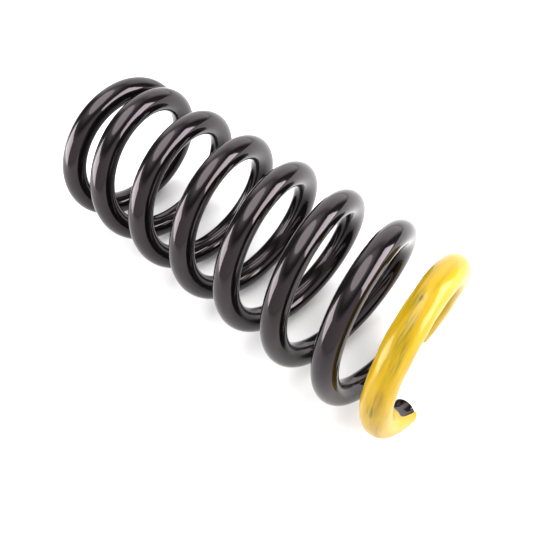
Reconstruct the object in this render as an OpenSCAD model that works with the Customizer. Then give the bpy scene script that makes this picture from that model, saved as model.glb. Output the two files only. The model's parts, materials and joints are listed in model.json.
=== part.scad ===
// Suspension coil spring: one round steel wire wound into an open helix, closed at
// the small end, left open at the large end, with a plastic sleeve over the open end.
// The spring lies on its side: X runs along the coil from the closed end to the open
// end, Z is up, and the floor is at Z = 0.
// The active coils are cut into quarter turns. Each quarter is a flat arc, and the
// next one is twisted about the wire's own line, as the steel twists under load.

/* [Wire] */
// Diameter of the wire with its coating
wire_d = 13; // [8:0.5:16]
// Mean radius of the coil at the wire's closed end
small_end_r = 36.8; // [34:0.1:44]
// Growth of the mean coil radius in one turn
growth_per_turn = 0.77; // [0.5:0.01:1]
// Angle of the wire's closed end about the coil's axis, from straight up
start_angle = -60; // [-180:5:180]

/* [Coils] */
// Distance from one active coil to the next
pitch = 31.4; // [26:0.5:38]
// Turns at the closed end that lie flat
flat_turns = 0.32; // [0.2:0.01:0.33]
// Turns over which the flat end climbs to the full pitch
climb_turns = 0.5; // [0.45:0.01:0.5]
// Quarter turns in the closed end coil, which don't flex
closed_quarters = 4; // [4:1:4]
// Quarter turns in the flexing coils
active_quarters = 23; // [11:4:27]
// Whole quarter turns in the open end coil, which doesn't flex
open_quarters = 3; // [2:1:3]
// Angle of the last short arc, up to the cut end of the wire
tip_angle = 38; // [10:1:60]
// Radius of the open end coil as a share of the growing radius
open_end_ratio = 0.94; // [0.94:0.005:1]
// Pitch of the open end coil as a share of the full pitch
open_pitch_ratio = 0.75; // [0.6:0.01:1]
// Gap between one quarter turn and the next
cut_gap = 0.05; // [0.02:0.01:0.1]

/* [Sleeve] */
// Wall of the sleeve on the open end
sleeve_wall = 0.9; // [0.6:0.1:1.5]
// Gap between the wire and the sleeve
sleeve_fit = 0.15; // [0.12:0.01:0.3]
// Angle past the start of the open end coil at which the sleeve starts
sleeve_start = 5; // [5:1:60]
// Angle before the wire's cut end at which the sleeve is split open
split_angle = 25; // [5:1:30]
// Angle of the opening in the split stretch, about the wire
split_width = 170; // [90:5:180]
// Direction of the opening about the wire, from the outside of the coil
split_turn = 225; // [0:5:360]

/* [Finish] */
// Colour of the wire's coating
wire_colour = "#1d1a1c";
// Colour of the sleeve
sleeve_colour = "#e8bd12";

/* [Hidden] */
$fn = 96;
axis_x = [1, 0, 0];
wire_r = wire_d / 2;
sleeve_r = wire_r + sleeve_fit + sleeve_wall;
open_arc = closed_quarters + active_quarters;
tip_arc = open_arc + open_quarters;
arc_count = tip_arc + 1;
open_turns = open_arc / 4;
// Width of the thin rings that join arcs, and how far they stand proud of the bar
ring_width = 1;
ring_proud = 0.05;
// Angle by which the split runs past the end of the sleeve
split_past = 3;

// Names of the flexing quarter turns, counted from the closed end
function turn_name(i) = str("turn_", floor(i / 4) + 1, "_quarter_", i % 4 + 1);
flexing = [closed_quarters:open_arc - 1];

function unit(v) = v / norm(v);
function smooth(s) = let (c = max(0, min(1, s))) c * c * (3 - 2 * c);

// Turns and angle at knot k, where one arc ends and the next starts
function knot_turns(k) = k <= tip_arc ? k / 4 : tip_arc / 4 + tip_angle / 360;
function knot_angle(k) = start_angle + 360 * knot_turns(k);

// Mean coil radius and pitch at a number of turns from the closed end
function radius_at(t) = (small_end_r + growth_per_turn * t) * (t > open_turns ? open_end_ratio : 1);
function pitch_at(t) = pitch * smooth((t - flat_turns) / climb_turns)
    * (1 - (1 - open_pitch_ratio) * smooth(4 * (t - open_turns)));

// Direction of the wire at knot k. Over a quarter turn the wire climbs a quarter of
// the pitch when the tangent of its slope is that climb over twice the radius.
function slope(k) = let (t = knot_turns(k)) atan(pitch_at(t) / (8 * radius_at(t)));
function around(k) = [0, -cos(knot_angle(k)), -sin(knot_angle(k))];
function wire_dir(k) = cos(slope(k)) * around(k) + sin(slope(k)) * axis_x;
dirs = [for (k = [0:arc_count]) wire_dir(k)];

// Arc i: the normal of its plane, its angle, and its radius, which puts its ends on
// the coil's circle
function arc_normal(i) = unit(cross(dirs[i], dirs[i + 1]));
function arc_angle(i) = acos(dirs[i] * dirs[i + 1]);
function chord_dir(i) = unit(dirs[i] + dirs[i + 1]);
function arc_radius(i) = let (step = knot_angle(i + 1) - knot_angle(i))
    radius_at((knot_turns(i) + knot_turns(i + 1)) / 2) * sin(step / 2)
    / (sin(arc_angle(i) / 2) * sqrt(1 - pow(chord_dir(i) * axis_x, 2)));
function chord(i) = 2 * arc_radius(i) * sin(arc_angle(i) / 2) * chord_dir(i);

// Knot points, from the closed end on
start_point = radius_at(0) * [0, -sin(start_angle), cos(start_angle)];
function knots(k = 0, p = start_point) =
    k == arc_count ? [p] : concat([p], knots(k + 1, p + chord(k)));
points = knots();

// Axes of arc i: outward at its start, along the wire, and its plane's normal
function arc_out(i) = cross(dirs[i], arc_normal(i));
function arc_centre(i) = points[i] - arc_radius(i) * arc_out(i);
function arc_point(i, a) = arc_centre(i)
    + arc_radius(i) * (cos(a) * arc_out(i) + sin(a) * dirs[i]);

// Angle on arc i of half the gap between quarter turns
function gap_angle(i) = cut_gap / arc_radius(i) * 90 / PI;

// The growing coil leans on the floor along one line, so its axis rises by this much
lean = atan(growth_per_turn / pitch);
function leaned(p) = [
    p.x * cos(lean) - p.z * sin(lean),
    p.y,
    p.x * sin(lean) + p.z * cos(lean)
];

// Box of the whole spring, from points along the wire
samples = 48;
function bar_r(i) = i >= open_arc ? sleeve_r : wire_r;
line = [for (i = [0:arc_count - 1], s = [0:samples])
    [leaned(arc_point(i, arc_angle(i) * s / samples)), bar_r(i)]];
function low(c) = min([for (q = line) q[0][c] - q[1]]);
function high(c) = max([for (q = line) q[0][c] + q[1]]);
shift = [-(low(0) + high(0)) / 2, -(low(1) + high(1)) / 2, -low(2)];

// Puts a child drawn on the XY plane about Z where arc i lies on the floor
module at_arc(i) {
    out = arc_out(i);
    along = dirs[i];
    up = arc_normal(i);
    at = arc_centre(i);
    translate(shift)
        rotate([0, -lean, 0])
            multmatrix([
                [out.x, along.x, up.x, at.x],
                [out.y, along.y, up.y, at.y],
                [out.z, along.z, up.z, at.z],
                [0, 0, 0, 1]
            ])
                children();
}

// Round disc of radius r, with a hole through it where the bore isn't zero
module disc(r, bore) {
    difference() {
        circle(r = r);
        if (bore > 0)
            circle(r = bore);
    }
}

// Bar or tube of radius r along arc i, between two angles past its start
module bar(i, r, bore, from, to) {
    at_arc(i)
        rotate([0, 0, from])
            rotate_extrude(angle = to - from)
                translate([arc_radius(i), 0])
                    disc(r, bore);
}

// Thin ring that joins arc i to the one before it in one solid
module joining_ring(i, r, bore) {
    at_arc(i)
        translate([arc_radius(i), 0])
            rotate([90, 0, 0])
                linear_extrude(height = ring_width, center = true)
                    disc(r + ring_proud, bore - ring_proud);
}

// Bar or tube along arcs first to last, as one solid. It starts at an angle past the
// start of its first arc, and it ends at an angle past the end of its last one.
module run(first, last, r, bore, from, past) {
    for (i = [first:last])
        bar(i, r, bore, i == first ? from : 0, arc_angle(i) + (i == last ? past : 0));
    for (i = [first + 1:last])
        joining_ring(i, r, bore);
}

// Coil that lies flat in its seat at the closed end
module closed_end_coil() {
    last = closed_quarters - 1;
    color(wire_colour)
        run(0, last, wire_r, 0, 0, -gap_angle(last));
}

// One quarter turn of the flexing coils
module turn_quarter(i) {
    color(wire_colour)
        run(i, i, wire_r, 0, gap_angle(i), -gap_angle(i));
}

// Coil at the open end, up to the wire's cut end
module open_end_coil() {
    color(wire_colour)
        run(open_arc, tip_arc, wire_r, 0, gap_angle(open_arc), 0);
}

// Wedge that splits the sleeve open over its last stretch
module sleeve_split() {
    reach = 3 * sleeve_r;
    half = split_width / 2;
    at_arc(tip_arc)
        rotate([0, 0, arc_angle(tip_arc) - split_angle])
            rotate_extrude(angle = split_angle + split_past)
                translate([arc_radius(tip_arc), 0])
                    rotate([0, 0, split_turn])
                        polygon([
                            [0, 0],
                            reach * [cos(half), -sin(half)],
                            reach * [1, -1],
                            reach * [1, 1],
                            reach * [cos(half), sin(half)]
                        ]);
}

// Plastic sleeve over the open end coil, split open at the wire's end
module end_sleeve() {
    color(sleeve_colour)
        difference() {
            run(open_arc, tip_arc, sleeve_r, wire_r + sleeve_fit, sleeve_start, 0);
            sleeve_split();
        }
}

closed_end_coil();
for (i = flexing)
    turn_quarter(i);
open_end_coil();
end_sleeve();
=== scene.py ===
import json
import math

import bpy
import numpy as np
from mathutils import Matrix, Quaternion, Vector

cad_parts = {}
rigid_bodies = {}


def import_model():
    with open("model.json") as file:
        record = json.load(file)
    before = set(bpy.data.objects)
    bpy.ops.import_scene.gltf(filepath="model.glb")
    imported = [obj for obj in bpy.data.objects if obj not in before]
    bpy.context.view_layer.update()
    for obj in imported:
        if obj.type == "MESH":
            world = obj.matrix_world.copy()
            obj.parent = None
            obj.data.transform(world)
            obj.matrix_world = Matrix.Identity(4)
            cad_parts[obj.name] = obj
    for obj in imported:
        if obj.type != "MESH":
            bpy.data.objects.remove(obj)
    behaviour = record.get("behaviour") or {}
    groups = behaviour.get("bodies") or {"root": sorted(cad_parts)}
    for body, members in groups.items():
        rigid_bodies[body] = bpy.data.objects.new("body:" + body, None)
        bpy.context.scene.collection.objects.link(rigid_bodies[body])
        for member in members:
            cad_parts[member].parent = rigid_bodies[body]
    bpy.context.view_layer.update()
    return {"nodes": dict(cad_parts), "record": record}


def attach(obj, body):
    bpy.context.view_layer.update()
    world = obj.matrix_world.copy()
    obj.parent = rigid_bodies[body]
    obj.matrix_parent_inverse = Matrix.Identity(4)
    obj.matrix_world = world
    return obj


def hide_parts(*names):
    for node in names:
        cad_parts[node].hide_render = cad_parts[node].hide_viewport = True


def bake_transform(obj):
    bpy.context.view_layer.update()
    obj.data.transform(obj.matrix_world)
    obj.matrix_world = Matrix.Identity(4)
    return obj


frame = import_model()

# Sizes of the spring, in metres, degrees and turns
WIRE_R = 0.0065
SMALL_END_R = 0.0368
GROWTH_PER_TURN = 0.00077
START_ANGLE = -60
PITCH = 0.0314
FLAT_TURNS = 0.32
CLIMB_TURNS = 0.5
OPEN_ARC = 27
TIP_ARC = 30
TIP_ANGLE = 38
OPEN_END_RATIO = 0.94
OPEN_PITCH_RATIO = 0.75

# Sizes of the yellow sleeve
SLEEVE_R = 0.00755
SLEEVE_BORE_R = 0.00662
SLEEVE_START_TURNS = 5 / 360

# Split at the sleeve's end: its middle, half width and fade about the wire, and its length
SPLIT_MIDDLE = 146
SPLIT_HALF_WIDTH = 66
SPLIT_FADE = 20
SPLIT_LENGTH = 25

# Torn tongue left standing in the split: its middle and width about the wire, and its length
TONGUE_MIDDLE = 126
TONGUE_WIDTH = 8
TONGUE_LENGTH = 9

# Green streak on the sleeve: it drifts about the wire and widens in even steps towards the
# cut end. Angles are in degrees, back from the cut end and about the wire.
STREAK_STEPS = 3
STREAK_BACK = (148, 116)
STREAK_SIDE = (20, -20)
STREAK_HALF_WIDTH = (0.0030, 0.0044)
STREAK_HALF_LENGTH = (0.009, 0.013)

# Other marks: angle back from the cut end, angle about the wire, half width, half length
DARK_SPOT = (150, 10, 0.0014, 0.0022)
GREEN_MARK = (80, -15, 0.004, 0.006)
# Brown marks: two darker orange-brown patches, about a quarter turn back from the cut end
BROWN_MARKS = [(90, -20, 0.004, 0.007), (65, -30, 0.006, 0.008)]
GREEN_GRIME = (0.145, 0.125, 0.012)
ORANGE_BROWN_TONE = (0.26, 0.150, 0.008)
SPOT_GRIME = (0.10, 0.075, 0.01)

# Fineness of the wire and the sleeve: rings along them and sides of a ring
RINGS_PER_QUARTER = 28
WIRE_SIDES = 56
SLEEVE_ROWS = 200
SLEEVE_SIDES = 144

# Rounded corner of the wire's cut ends
CUT_CORNER = 0.00075
CORNER_STEPS = 5

# How far the wire's line may be from the part's own hinges
HINGE_TOLERANCE = 0.00005

# Camera: where it stands, the direction from what it sees back to it, its roll and its lens
CAMERA_PLACE = (0.1473, -0.1599, 0.3347)
CAMERA_AZIMUTH = -48.0
CAMERA_ELEVATION = 55.3
CAMERA_ROLL = -1.0
CAMERA_LENS = 45.9

# Glow of the studio's walls, its ceiling and what the camera sees beyond the floor
WALL_GLOW = (1.3, 1.25, 1.27)
CEILING_GLOW = (0.12, 0.12, 0.12)
BACKDROP_GLOW = (1.3, 1.3, 1.3)

# Share of the walls' glow by azimuth
WALLS_ROUND = [
    (-180, 0.15),
    (-164, 0.15),
    (-154, 1.0),
    (-110, 0.9),
    (-60, 1.1),
    (-15, 1.3),
    (20, 1.0),
    (52, 1.0),
    (60, 0.15),
    (75, 0.15),
    (90, 1.8),
    (160, 1.6),
    (172, 0.15),
]

# Soft boxes: name, azimuth, elevation, distance, width, height, glow, shape
SOFT_BOXES = [
    ("box_overhead", 162, 81, 1.2, 0.98, 1.36, 3.5, "ELLIPSE"),
    ("box_right", 33, 22.5, 1.4, 1.2, 0.84, 9.6, "RECTANGLE"),
    ("box_left", -135, 11, 0.55, 0.42, 0.34, 9.2, "RECTANGLE"),
]
SPRING_MIDDLE = (0, 0, 0.045)
FLOOR_HALF = 3.0

# Soft glow about the overhead soft box, by the cosine of the angle from its middle
OVERHEAD = (150, 80)
OVERHEAD_GLOW = [(0.60, 0.0), (0.74, 0.35), (0.85, 1.2), (0.93, 2.2)]


def smooth_step(s):
    c = np.clip(s, 0, 1)
    return c * c * (3 - 2 * c)


def unit(v):
    v = np.asarray(v, float)
    return v / np.linalg.norm(v, axis=-1, keepdims=True)


# ---------------------------------------------------------------- the wire's line


def knot_turns(k):
    return k / 4 if k <= TIP_ARC else TIP_ARC / 4 + TIP_ANGLE / 360


def radius_at(t):
    grown = SMALL_END_R + GROWTH_PER_TURN * t
    return grown * (OPEN_END_RATIO if t > OPEN_ARC / 4 else 1)


def pitch_at(t):
    eased = 1 - (1 - OPEN_PITCH_RATIO) * smooth_step(4 * (t - OPEN_ARC / 4))
    return PITCH * smooth_step((t - FLAT_TURNS) / CLIMB_TURNS) * eased


def wire_direction(k):
    """Direction of the wire at the start of quarter turn k, before the coil leans on the floor."""
    t = knot_turns(k)
    turned = math.radians(START_ANGLE + 360 * t)
    slope = math.atan(pitch_at(t) / (8 * radius_at(t)))
    around = np.array([0, -math.cos(turned), -math.sin(turned)])
    return math.cos(slope) * around + math.sin(slope) * np.array([1.0, 0, 0])


def wound_points():
    """Turns and points at the ends and the middle of each quarter turn of the part."""
    turned = math.radians(START_ANGLE)
    point = radius_at(0) * np.array([0, -math.sin(turned), math.cos(turned)])
    turns, points = [0.0], [point]
    for i in range(TIP_ARC + 1):
        here, there = wire_direction(i), wire_direction(i + 1)
        bend = math.acos(float(here @ there))
        step = 2 * math.pi * (knot_turns(i + 1) - knot_turns(i))
        middle = (knot_turns(i) + knot_turns(i + 1)) / 2
        chord = unit(here + there)
        flat = math.sqrt(1 - chord[0] ** 2)
        arc_r = radius_at(middle) * math.sin(step / 2) / (math.sin(bend / 2) * flat)
        out = np.cross(here, unit(np.cross(here, there)))
        halfway = point + arc_r * ((math.cos(bend / 2) - 1) * out + math.sin(bend / 2) * here)
        point = point + 2 * arc_r * math.sin(bend / 2) * chord
        turns += [middle, knot_turns(i + 1)]
        points += [halfway, point]
    return np.array(turns), np.array(points)


class WireLine:
    """Smooth line of the wire's middle, from the closed end to the cut open end, by turns."""

    def __init__(self):
        lean = math.atan(GROWTH_PER_TURN / PITCH)
        c, s = math.cos(lean), math.sin(lean)
        self.leaned = np.array([[c, 0, -s], [0, 1, 0], [s, 0, c]])
        self.turns, points = wound_points()
        points = points @ self.leaned.T
        cuts = np.array([j["pos_m"] for j in frame["record"]["behaviour"]["joints"]])
        first = 2 * (OPEN_ARC - len(cuts) + 1)
        wound = points[first : 2 * OPEN_ARC + 1 : 2]
        self.shift = (cuts - wound).mean(0)
        if np.abs(cuts - wound - self.shift).max() > HINGE_TOLERANCE:
            raise ValueError("the wire's line doesn't pass through the part's cuts")
        self.points = points + self.shift
        self.solve()

    def solve(self):
        """Slopes of the cubic pieces that meet smoothly at every point."""
        t, p = self.turns, self.points
        n = len(t)
        h = np.diff(t)
        lhs = np.zeros((n, n))
        rhs = np.zeros((n, 3))
        for i in range(1, n - 1):
            lhs[i, i - 1] = 1 / h[i - 1]
            lhs[i, i] = 2 / h[i - 1] + 2 / h[i]
            lhs[i, i + 1] = 1 / h[i]
            rhs[i] = 3 * ((p[i] - p[i - 1]) / h[i - 1] ** 2 + (p[i + 1] - p[i]) / h[i] ** 2)
        for k, knot in ((0, 0), (n - 1, TIP_ARC + 1)):
            lhs[k, k] = 1
            rhs[k] = self.leaned @ wire_direction(knot) * 2 * math.pi * radius_at(t[k])
        self.slopes = np.linalg.solve(lhs, rhs)

    def at(self, turns):
        """Points and unit directions of the wire's middle at these turns."""
        turns = np.atleast_1d(np.asarray(turns, float))
        k = np.clip(np.searchsorted(self.turns, turns) - 1, 0, len(self.turns) - 2)
        h = (self.turns[k + 1] - self.turns[k])[:, None]
        s = (turns[:, None] - self.turns[k][:, None]) / h
        p0, p1 = self.points[k], self.points[k + 1]
        m0, m1 = self.slopes[k] * h, self.slopes[k + 1] * h
        point = (
            (2 * s**3 - 3 * s**2 + 1) * p0
            + (s**3 - 2 * s**2 + s) * m0
            + (3 * s**2 - 2 * s**3) * p1
            + (s**3 - s**2) * m1
        )
        slope = (
            (6 * s**2 - 6 * s) * p0
            + (3 * s**2 - 4 * s + 1) * m0
            + (6 * s - 6 * s**2) * p1
            + (3 * s**2 - 2 * s) * m1
        )
        return point, unit(slope)

    def outward(self, turns):
        """Unit directions from the coil's axis to the wire, square to the wire."""
        turns = np.atleast_1d(np.asarray(turns, float))
        turned = np.radians(START_ANGLE + 360 * turns)
        zero = np.zeros_like(turned)
        out = np.stack([zero, -np.sin(turned), np.cos(turned)], 1) @ self.leaned.T
        along = self.at(turns)[1]
        return unit(out - (out * along).sum(1)[:, None] * along)


line = WireLine()
TIP_TURNS = knot_turns(TIP_ARC + 1)
fine_turns = np.linspace(0, TIP_TURNS, 3001)
fine_run = np.concatenate(
    [[0], np.cumsum(np.linalg.norm(np.diff(line.at(fine_turns)[0], axis=0), axis=1))]
)


def run_length(turns):
    """Length of wire from the closed end."""
    return np.interp(turns, fine_turns, fine_run)


# ---------------------------------------------------------------- finishes


def new_material(name):
    material = bpy.data.materials.new(name)
    material.use_nodes = True
    return material, material.node_tree.nodes, material.node_tree.links


def noise(nodes, links, vector, scale, detail=2.0, roughness=0.5):
    node = nodes.new("ShaderNodeTexNoise")
    node.inputs["Scale"].default_value = scale
    node.inputs["Detail"].default_value = detail
    node.inputs["Roughness"].default_value = roughness
    links.new(vector, node.inputs["Vector"])
    return node.outputs["Fac"]


def stretched(nodes, links, vector, scale):
    node = nodes.new("ShaderNodeMapping")
    node.inputs["Scale"].default_value = scale
    links.new(vector, node.inputs["Vector"])
    return node.outputs["Vector"]


def ramp(nodes, links, value, stops):
    node = nodes.new("ShaderNodeValToRGB")
    bar = node.color_ramp
    while len(bar.elements) < len(stops):
        bar.elements.new(0.5)
    for element, (position, colour) in zip(bar.elements, stops):
        element.position = position
        element.color = (*colour, 1)
    links.new(value, node.inputs["Fac"])
    return node.outputs["Color"]


def strand_position(nodes):
    """Place on the wire as if it were pulled straight: across, across, along, in metres."""
    node = nodes.new("ShaderNodeAttribute")
    node.attribute_name = "strand"
    return node.outputs["Vector"]


def black_coat():
    """Smooth stoved black coating with a faint orange peel and a little dust."""
    material, nodes, links = new_material("black_coat")
    shader = nodes["Principled BSDF"]
    strand = strand_position(nodes)
    cloud = noise(nodes, links, strand, 60, 3)
    blacks = [(0.3, (0.0032, 0.0026, 0.0027)), (0.75, (0.0052, 0.0042, 0.0044))]
    colour = ramp(nodes, links, cloud, blacks)
    links.new(colour, shader.inputs["Base Color"])
    dust = noise(nodes, links, strand, 900, 2)
    haze = nodes.new("ShaderNodeMapRange")
    haze.inputs["From Min"].default_value = 0.35
    haze.inputs["From Max"].default_value = 0.75
    haze.inputs["To Min"].default_value = 0.07
    haze.inputs["To Max"].default_value = 0.13
    links.new(dust, haze.inputs["Value"])
    links.new(haze.outputs["Result"], shader.inputs["Roughness"])
    shader.inputs["IOR"].default_value = 1.53
    shader.inputs["Specular Tint"].default_value = (1.0, 0.87, 0.93, 1)
    peel = noise(nodes, links, strand, 320, 2)
    bump = nodes.new("ShaderNodeBump")
    bump.inputs["Strength"].default_value = 0.05
    bump.inputs["Distance"].default_value = 0.0006
    links.new(peel, bump.inputs["Height"])
    links.new(bump.outputs["Normal"], shader.inputs["Normal"])
    return material


def sleeve_marks():
    """Every mark on the sleeve with its colour, the streak's steps first."""
    marks = []
    for step in range(STREAK_STEPS):
        share = step / (STREAK_STEPS - 1)
        ends = (STREAK_BACK, STREAK_SIDE, STREAK_HALF_WIDTH, STREAK_HALF_LENGTH)
        marks.append((*[a + (b - a) * share for a, b in ends], GREEN_GRIME))
    marks.append((*DARK_SPOT, SPOT_GRIME))
    marks.append((*GREEN_MARK, GREEN_GRIME))
    for mark in BROWN_MARKS:
        marks.append((*mark, ORANGE_BROWN_TONE))
    return marks


def patch(nodes, links, strand, turns, side, across, along):
    """Mask that is 1 at one spot on the sleeve and fades to 0, by its half sizes in metres."""
    turned = math.radians(side)
    spot = (SLEEVE_R * math.cos(turned), SLEEVE_R * math.sin(turned), float(run_length(turns)))
    size = (1 / across, 1 / across, 1 / along)
    place = nodes.new("ShaderNodeMapping")
    place.inputs["Scale"].default_value = size
    place.inputs["Location"].default_value = [-p * q for p, q in zip(spot, size)]
    links.new(strand, place.inputs["Vector"])
    far = nodes.new("ShaderNodeVectorMath")
    far.operation = "LENGTH"
    links.new(place.outputs["Vector"], far.inputs[0])
    fade = nodes.new("ShaderNodeMapRange")
    fade.interpolation_type = "SMOOTHSTEP"
    fade.inputs["From Min"].default_value = 1.0
    fade.inputs["From Max"].default_value = 0.2
    links.new(far.outputs["Value"], fade.inputs["Value"])
    return fade.outputs["Result"]


def blended(nodes, links, share, base, over):
    """Colour that goes from base to over as the share rises."""
    mix = nodes.new("ShaderNodeMix")
    mix.data_type = "RGBA"
    links.new(share, mix.inputs["Factor"])
    links.new(base, mix.inputs["A"])
    mix.inputs["B"].default_value = (*over, 1)
    return mix.outputs["Result"]


def times(nodes, links, first, second):
    node = nodes.new("ShaderNodeMath")
    node.operation = "MULTIPLY"
    node.use_clamp = True
    links.new(first, node.inputs[0])
    links.new(second, node.inputs[1])
    return node.outputs["Value"]


def yellow_plastic():
    """Golden yellow plastic tube, streaked with green grime along the strand, with a dark spot and
    darker orange-brown patches.
    """
    material, nodes, links = new_material("yellow_plastic")
    shader = nodes["Principled BSDF"]
    strand = strand_position(nodes)
    long_streaks = noise(nodes, links, stretched(nodes, links, strand, (260, 260, 28)), 1.0, 4)
    colour = ramp(
        nodes,
        links,
        long_streaks,
        [
            (0.25, (0.27, 0.176, 0.002)),
            (0.42, (0.345, 0.226, 0.001)),
            (0.58, (0.39, 0.255, 0.001)),
            (0.80, (0.43, 0.300, 0.004)),
        ],
    )
    fine_streaks = noise(nodes, links, stretched(nodes, links, strand, (900, 900, 70)), 1.0, 4, 0.6)
    streaky = nodes.new("ShaderNodeMapRange")
    streaky.inputs["From Min"].default_value = 0.40
    streaky.inputs["From Max"].default_value = 0.60
    links.new(fine_streaks, streaky.inputs["Value"])
    for back, side, across, along, over in sleeve_marks():
        turns = TIP_TURNS - back / 360
        there = patch(nodes, links, strand, turns, side, across, along)
        share = times(nodes, links, there, streaky.outputs["Result"])
        colour = blended(nodes, links, share, colour, over)
    links.new(colour, shader.inputs["Base Color"])
    shader.inputs["Roughness"].default_value = 0.42
    shader.inputs["Specular IOR Level"].default_value = 0.22
    shader.inputs["Coat Weight"].default_value = 0.42
    shader.inputs["Coat Roughness"].default_value = 0.13
    wrinkles = noise(nodes, links, stretched(nodes, links, strand, (260, 260, 60)), 1.0, 3)
    bump = nodes.new("ShaderNodeBump")
    bump.inputs["Strength"].default_value = 0.3
    bump.inputs["Distance"].default_value = 0.0006
    links.new(wrinkles, bump.inputs["Height"])
    links.new(bump.outputs["Normal"], shader.inputs["Normal"])
    return material


def white_paper():
    material, nodes, _ = new_material("white_paper")
    shader = nodes["Principled BSDF"]
    shader.inputs["Base Color"].default_value = (0.75, 0.75, 0.75, 1)
    shader.inputs["Roughness"].default_value = 0.9
    shader.inputs["Specular IOR Level"].default_value = 0.1
    return material


COAT = black_coat()
PLASTIC = yellow_plastic()

# ---------------------------------------------------------------- the wire's skin


def wire_tree():
    """Sweeps a round wire along a line of points that carries its outward side and its girth."""
    tree = bpy.data.node_groups.new("wound_wire", "GeometryNodeTree")
    face = tree.interface
    face.new_socket("Geometry", in_out="INPUT", socket_type="NodeSocketGeometry")
    sizes = [
        ("Wire Radius", "NodeSocketFloat"),
        ("Sides", "NodeSocketInt"),
        ("Finish", "NodeSocketMaterial"),
    ]
    for name, kind in sizes:
        face.new_socket(name, in_out="INPUT", socket_type=kind)
    face.new_socket("Geometry", in_out="OUTPUT", socket_type="NodeSocketGeometry")
    nodes, links = tree.nodes, tree.links
    given = nodes.new("NodeGroupInput")
    made = nodes.new("NodeGroupOutput")

    def attribute(name, kind):
        node = nodes.new("GeometryNodeInputNamedAttribute")
        node.data_type = kind
        node.inputs["Name"].default_value = name
        return node.outputs["Attribute"]

    def store(geometry, name, kind, value):
        node = nodes.new("GeometryNodeStoreNamedAttribute")
        node.data_type = kind
        node.domain = "POINT"
        node.inputs["Name"].default_value = name
        links.new(geometry, node.inputs["Geometry"])
        links.new(value, node.inputs["Value"])
        return node.outputs["Geometry"]

    def remove(geometry, name):
        node = nodes.new("GeometryNodeRemoveAttribute")
        node.inputs["Name"].default_value = name
        links.new(geometry, node.inputs["Geometry"])
        return node.outputs["Geometry"]

    to_curve = nodes.new("GeometryNodeMeshToCurve")
    links.new(given.outputs["Geometry"], to_curve.inputs["Mesh"])
    facing = nodes.new("GeometryNodeSetCurveNormal")
    facing.mode = "FREE"
    links.new(to_curve.outputs["Curve"], facing.inputs["Curve"])
    links.new(attribute("outward", "FLOAT_VECTOR"), facing.inputs["Normal"])
    ring = nodes.new("GeometryNodeCurvePrimitiveCircle")
    links.new(given.outputs["Sides"], ring.inputs["Resolution"])
    links.new(given.outputs["Wire Radius"], ring.inputs["Radius"])
    place = nodes.new("GeometryNodeInputPosition")
    profile = store(ring.outputs["Curve"], "across", "FLOAT_VECTOR", place.outputs["Position"])
    sweep = nodes.new("GeometryNodeCurveToMesh")
    sweep.inputs["Fill Caps"].default_value = True
    links.new(facing.outputs["Curve"], sweep.inputs["Curve"])
    links.new(profile, sweep.inputs["Profile Curve"])
    links.new(attribute("girth", "FLOAT"), sweep.inputs["Scale"])
    split = nodes.new("ShaderNodeSeparateXYZ")
    links.new(attribute("across", "FLOAT_VECTOR"), split.inputs["Vector"])
    join = nodes.new("ShaderNodeCombineXYZ")
    links.new(split.outputs["X"], join.inputs["X"])
    links.new(split.outputs["Y"], join.inputs["Y"])
    links.new(attribute("run", "FLOAT"), join.inputs["Z"])
    body = store(sweep.outputs["Mesh"], "strand", "FLOAT_VECTOR", join.outputs["Vector"])
    for name in ("across", "outward", "girth", "run"):
        body = remove(body, name)
    real = nodes.new("GeometryNodeRealizeInstances")
    links.new(body, real.inputs["Geometry"])
    finish = nodes.new("GeometryNodeSetMaterial")
    links.new(real.outputs["Geometry"], finish.inputs["Geometry"])
    links.new(given.outputs["Finish"], finish.inputs["Material"])
    links.new(finish.outputs["Geometry"], made.inputs["Geometry"])
    return tree


WIRE_TREE = wire_tree()


def plain_object(name, points, faces, edges=()):
    mesh = bpy.data.meshes.new(name)
    mesh.from_pydata([tuple(p) for p in points], list(edges), list(faces))
    mesh.update()
    made = bpy.data.objects.new(name, mesh)
    bpy.context.scene.collection.objects.link(made)
    return made


def path_object(name, turns, girth):
    """Line of points along the wire, with what the sweep reads at each point."""
    points = line.at(turns)[0]
    steps = [(i, i + 1) for i in range(len(points) - 1)]
    path = plain_object(name, points, [], steps)
    outward = path.data.attributes.new("outward", "FLOAT_VECTOR", "POINT")
    outward.data.foreach_set("vector", line.outward(turns).astype(np.float32).ravel())
    scale = path.data.attributes.new("girth", "FLOAT", "POINT")
    scale.data.foreach_set("value", np.asarray(girth, np.float32))
    run = path.data.attributes.new("run", "FLOAT", "POINT")
    run.data.foreach_set("value", run_length(turns).astype(np.float32))
    return path


def set_input(modifier, name, value):
    for item in modifier.node_group.interface.items_tree:
        if item.item_type == "SOCKET" and item.in_out == "INPUT" and item.name == name:
            modifier[item.identifier] = value


def made_plain(source, name):
    """A plain mesh object from an object's evaluated shape. The source is removed."""
    bpy.context.view_layer.update()
    graph = bpy.context.evaluated_depsgraph_get()
    mesh = bpy.data.meshes.new_from_object(source.evaluated_get(graph), depsgraph=graph)
    bpy.data.objects.remove(source)
    mesh.name = name
    made = bpy.data.objects.new(name, mesh)
    bpy.context.scene.collection.objects.link(made)
    return made


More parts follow.
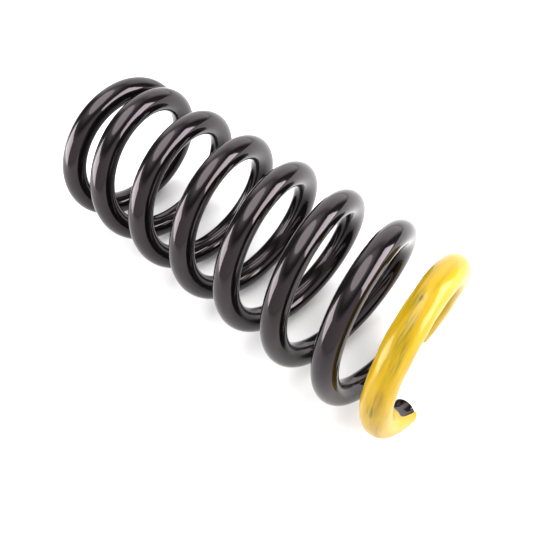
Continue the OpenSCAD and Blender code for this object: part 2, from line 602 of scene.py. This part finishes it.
def round_normals(piece, turns, tilt):
    """Exact normals on the round side, tilted by an angle along the wire at each ring."""
    mesh = piece.data
    middle, along = line.at(turns)
    count = len(mesh.vertices)
    place = np.zeros(count * 3)
    mesh.vertices.foreach_get("co", place)
    place = place.reshape(-1, 3)
    ring = np.arange(count) // WIRE_SIDES
    radial = unit(place - middle[ring])
    radial -= (radial * along[ring]).sum(1)[:, None] * along[ring]
    radial = unit(radial) * np.cos(tilt)[ring][:, None] + along[ring] * np.sin(tilt)[ring][:, None]
    normals = np.zeros((len(mesh.loops), 3))
    for polygon in mesh.polygons:
        for loop in polygon.loop_indices:
            vertex = mesh.loops[loop].vertex_index
            cap = len(polygon.vertices) > 4
            normals[loop] = polygon.normal if cap else radial[vertex]
    mesh.normals_split_custom_set([tuple(n) for n in normals])


def wound_wire(name, start, end, cut_start=False, cut_end=False):
    """One stretch of wire. A cut end gets a small rounded corner."""
    rings = max(2, round((end - start) * 4 * RINGS_PER_QUARTER)) + 1
    turns = np.linspace(start, end, rings)
    girth = np.ones(rings)
    tilt = np.zeros(rings)
    per_metre = 1 / (run_length(end) - run_length(start)) * (end - start)
    round_off = np.linspace(0, math.pi / 2, CORNER_STEPS + 1)
    away = CUT_CORNER * (1 - np.sin(round_off)) * per_metre
    narrow = 1 - CUT_CORNER * (1 - np.cos(round_off)) / WIRE_R
    clear = CUT_CORNER * per_metre * 1.2
    if cut_end:
        keep = turns < end - clear
        turns = np.concatenate([turns[keep], (end - away)])
        girth = np.concatenate([girth[keep], narrow])
        tilt = np.concatenate([tilt[keep], round_off])
    if cut_start:
        keep = turns > start + clear
        turns = np.concatenate([(start + away)[::-1], turns[keep]])
        girth = np.concatenate([narrow[::-1], girth[keep]])
        tilt = np.concatenate([-round_off[::-1], tilt[keep]])
    path = path_object(name + "_line", turns, girth)
    sweep = path.modifiers.new("wound_wire", "NODES")
    sweep.node_group = WIRE_TREE
    set_input(sweep, "Wire Radius", WIRE_R)
    set_input(sweep, "Sides", WIRE_SIDES)
    set_input(sweep, "Finish", COAT)
    piece = made_plain(path, name)
    round_normals(piece, turns, tilt)
    return piece


def wire_pieces():
    joints = frame["record"]["behaviour"]["joints"]
    first_cut = OPEN_ARC - len(joints) + 1
    start = (first_cut - 0.5) / 4
    end = (OPEN_ARC + 0.5) / 4
    closed = wound_wire("closed_end_wire", 0, start, cut_start=True)
    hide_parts("closed_end_coil")
    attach(closed, "closed_end")
    for number, joint in enumerate(joints):
        cut = first_cut + number
        name = "wire_at_cut_%d" % (number + 1)
        piece = wound_wire(name, (cut - 0.5) / 4, (cut + 0.5) / 4)
        if number:
            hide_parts(joint["parent"])
        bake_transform(piece)
    tip = wound_wire("open_end_wire", end, TIP_TURNS, cut_end=True)
    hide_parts("open_end_coil")
    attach(tip, "open_end")


wire_pieces()

# ---------------------------------------------------------------- the yellow sleeve


def sleeve_end(side):
    """Turns at which the sleeve ends, for each angle about the wire from the coil's outside."""
    open_at = math.radians(SPLIT_MIDDLE)
    away = np.abs((side - open_at + math.pi) % (2 * math.pi) - math.pi)
    split = 1 - smooth_step((away - math.radians(SPLIT_HALF_WIDTH)) / math.radians(SPLIT_FADE))
    ragged = 0.0012 * np.sin(3 * side + 1) + 0.0007 * np.sin(7 * side) + 0.0004 * np.sin(17 * side)
    tongue = np.exp(-(((side - math.radians(TONGUE_MIDDLE)) / math.radians(TONGUE_WIDTH)) ** 2))
    return TIP_TURNS - (SPLIT_LENGTH * split - TONGUE_LENGTH * tongue) / 360 - np.abs(ragged)


def yellow_sleeve():
    first = OPEN_ARC / 4 + SLEEVE_START_TURNS
    rows = SLEEVE_ROWS
    side = np.linspace(0, 2 * math.pi, SLEEVE_SIDES, endpoint=False)
    last = sleeve_end(side)
    starts = first + 0.0006 * np.sin(2 * side) + 0.0003 * np.sin(5 * side + 1)
    share = np.linspace(0, 1, rows)
    points, strand = [], []
    for radius, wavy in ((SLEEVE_R, 1.0), (SLEEVE_BORE_R, 0.0)):
        for s in share:
            turns = starts + (last - starts) * s
            middle, along = line.at(turns)
            out = line.outward(turns)
            across = np.cross(along, out)
            run = run_length(turns)
            swell = wavy * (
                0.00010 * np.sin(run * 180 + 2 * side)
                + 0.00006 * np.sin(run * 410 + 5 * side)
                - 0.00012
            )
            r = (radius + swell)[:, None]
            spot = middle + r * (np.cos(side)[:, None] * out + np.sin(side)[:, None] * across)
            points.append(spot)
            strand.append(np.stack([radius * np.cos(side), radius * np.sin(side), run], 1))
    points = np.concatenate(points)
    strand = np.concatenate(strand)
    faces = []
    n = SLEEVE_SIDES
    inner = rows * n
    for k in range(n):
        m = (k + 1) % n
        for i in range(rows - 1):
            a, b = i * n, (i + 1) * n
            faces.append((a + k, a + m, b + m, b + k))
            faces.append((inner + a + m, inner + a + k, inner + b + k, inner + b + m))
        last_row = (rows - 1) * n
        faces.append((inner + k, inner + m, m, k))
        faces.append((last_row + k, last_row + m, inner + last_row + m, inner + last_row + k))
    sleeve = plain_object("yellow_sleeve", points, faces)
    attribute = sleeve.data.attributes.new("strand", "FLOAT_VECTOR", "POINT")
    attribute.data.foreach_set("vector", strand.astype(np.float32).ravel())
    sleeve.data.materials.append(PLASTIC)
    for polygon in sleeve.data.polygons:
        polygon.use_smooth = True
    return sleeve


sleeve = yellow_sleeve()
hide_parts("end_sleeve")
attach(sleeve, "open_end")

# The CAD's own quarter turns are all stood for by the pieces of wire
for node in frame["nodes"].values():
    node.data.materials.clear()
    node.data.materials.append(PLASTIC if node.name == "end_sleeve" else COAT)

# ---------------------------------------------------------------- floor, light, camera


def floor():
    half = FLOOR_HALF
    ground = plain_object(
        "floor",
        [(-half, -half, 0), (half, -half, 0), (half, half, 0), (-half, half, 0)],
        [(0, 1, 2, 3)],
    )
    ground.data.materials.append(white_paper())


def camera():
    data = bpy.data.cameras.new("camera")
    eye = bpy.data.objects.new("camera", data)
    data.sensor_width = 36
    data.lens = CAMERA_LENS
    data.clip_start = 0.01
    away = direction(CAMERA_AZIMUTH, CAMERA_ELEVATION)
    tilt = Quaternion((0, 0, 1), math.radians(CAMERA_ROLL))
    eye.location = CAMERA_PLACE
    eye.rotation_mode = "QUATERNION"
    eye.rotation_quaternion = away.to_track_quat("Z", "Y") @ tilt
    bpy.context.scene.collection.objects.link(eye)
    bpy.context.scene.camera = eye


def direction(azimuth, elevation):
    az, el = math.radians(azimuth), math.radians(elevation)
    return Vector((math.cos(el) * math.cos(az), math.cos(el) * math.sin(az), math.sin(el)))


def studio_world():
    """Pale walls up to a third of the way to the ceiling, dark gaps in them, and a dark ceiling."""
    world = bpy.data.worlds.new("studio")
    world.use_nodes = True
    nodes, links = world.node_tree.nodes, world.node_tree.links
    shade = nodes["Background"]
    where = nodes.new("ShaderNodeTexCoord")
    split = nodes.new("ShaderNodeSeparateXYZ")
    links.new(where.outputs["Generated"], split.inputs["Vector"])
    height = [(0.0, WALL_GLOW), (0.53, WALL_GLOW), (0.72, CEILING_GLOW)]
    walls = ramp(nodes, links, split.outputs["Z"], height)
    compass = nodes.new("ShaderNodeMath")
    compass.operation = "ARCTAN2"
    links.new(split.outputs["Y"], compass.inputs[0])
    links.new(split.outputs["X"], compass.inputs[1])
    share = nodes.new("ShaderNodeMapRange")
    share.inputs["From Min"].default_value = -math.pi
    share.inputs["From Max"].default_value = math.pi
    links.new(compass.outputs["Value"], share.inputs["Value"])
    stops = []
    for azimuth, glow in WALLS_ROUND:
        stops.append(((azimuth + 180) / 360, (glow, glow, glow)))
    gaps = ramp(nodes, links, share.outputs["Result"], stops)
    both = nodes.new("ShaderNodeMix")
    both.data_type = "RGBA"
    both.blend_type = "MULTIPLY"
    both.inputs["Factor"].default_value = 1.0
    links.new(walls, both.inputs["A"])
    links.new(gaps, both.inputs["B"])
    near = nodes.new("ShaderNodeVectorMath")
    near.operation = "DOT_PRODUCT"
    near.inputs[1].default_value = direction(*OVERHEAD)
    links.new(where.outputs["Generated"], near.inputs[0])
    stops = [(cosine, (glow, glow, glow)) for cosine, glow in OVERHEAD_GLOW]
    above = ramp(nodes, links, near.outputs["Value"], stops)
    total = nodes.new("ShaderNodeMix")
    total.data_type = "RGBA"
    total.blend_type = "ADD"
    total.inputs["Factor"].default_value = 1.0
    links.new(both.outputs["Result"], total.inputs["A"])
    links.new(above, total.inputs["B"])
    seen = nodes.new("ShaderNodeLightPath")
    camera_ray = seen.outputs["Is Camera Ray"]
    plain = blended(nodes, links, camera_ray, total.outputs["Result"], BACKDROP_GLOW)
    links.new(plain, shade.inputs["Color"])
    bpy.context.scene.world = world


def soft_box(name, azimuth, elevation, distance, width, height, glow, shape):
    """Soft box that faces the spring, by its direction from the spring, its size and its glow."""
    away = direction(azimuth, elevation)
    side = direction(azimuth + 90, 0)
    data = bpy.data.lights.new(name, "AREA")
    data.shape = shape
    data.size = width
    data.size_y = height
    area = width * height * (math.pi / 4 if shape == "ELLIPSE" else 1)
    data.energy = glow * math.pi * area
    box = bpy.data.objects.new(name, data)
    turned = Matrix((side, away.cross(side), away)).transposed()
    box.rotation_euler = turned.to_euler()
    box.location = Vector(SPRING_MIDDLE) + away * distance
    box.visible_camera = False
    bpy.context.scene.collection.objects.link(box)


floor()
camera()
for box in SOFT_BOXES:
    soft_box(*box)
studio_world()
bpy.context.scene.view_settings.view_transform = "Standard"
bpy.context.scene.view_settings.gamma = 0.87
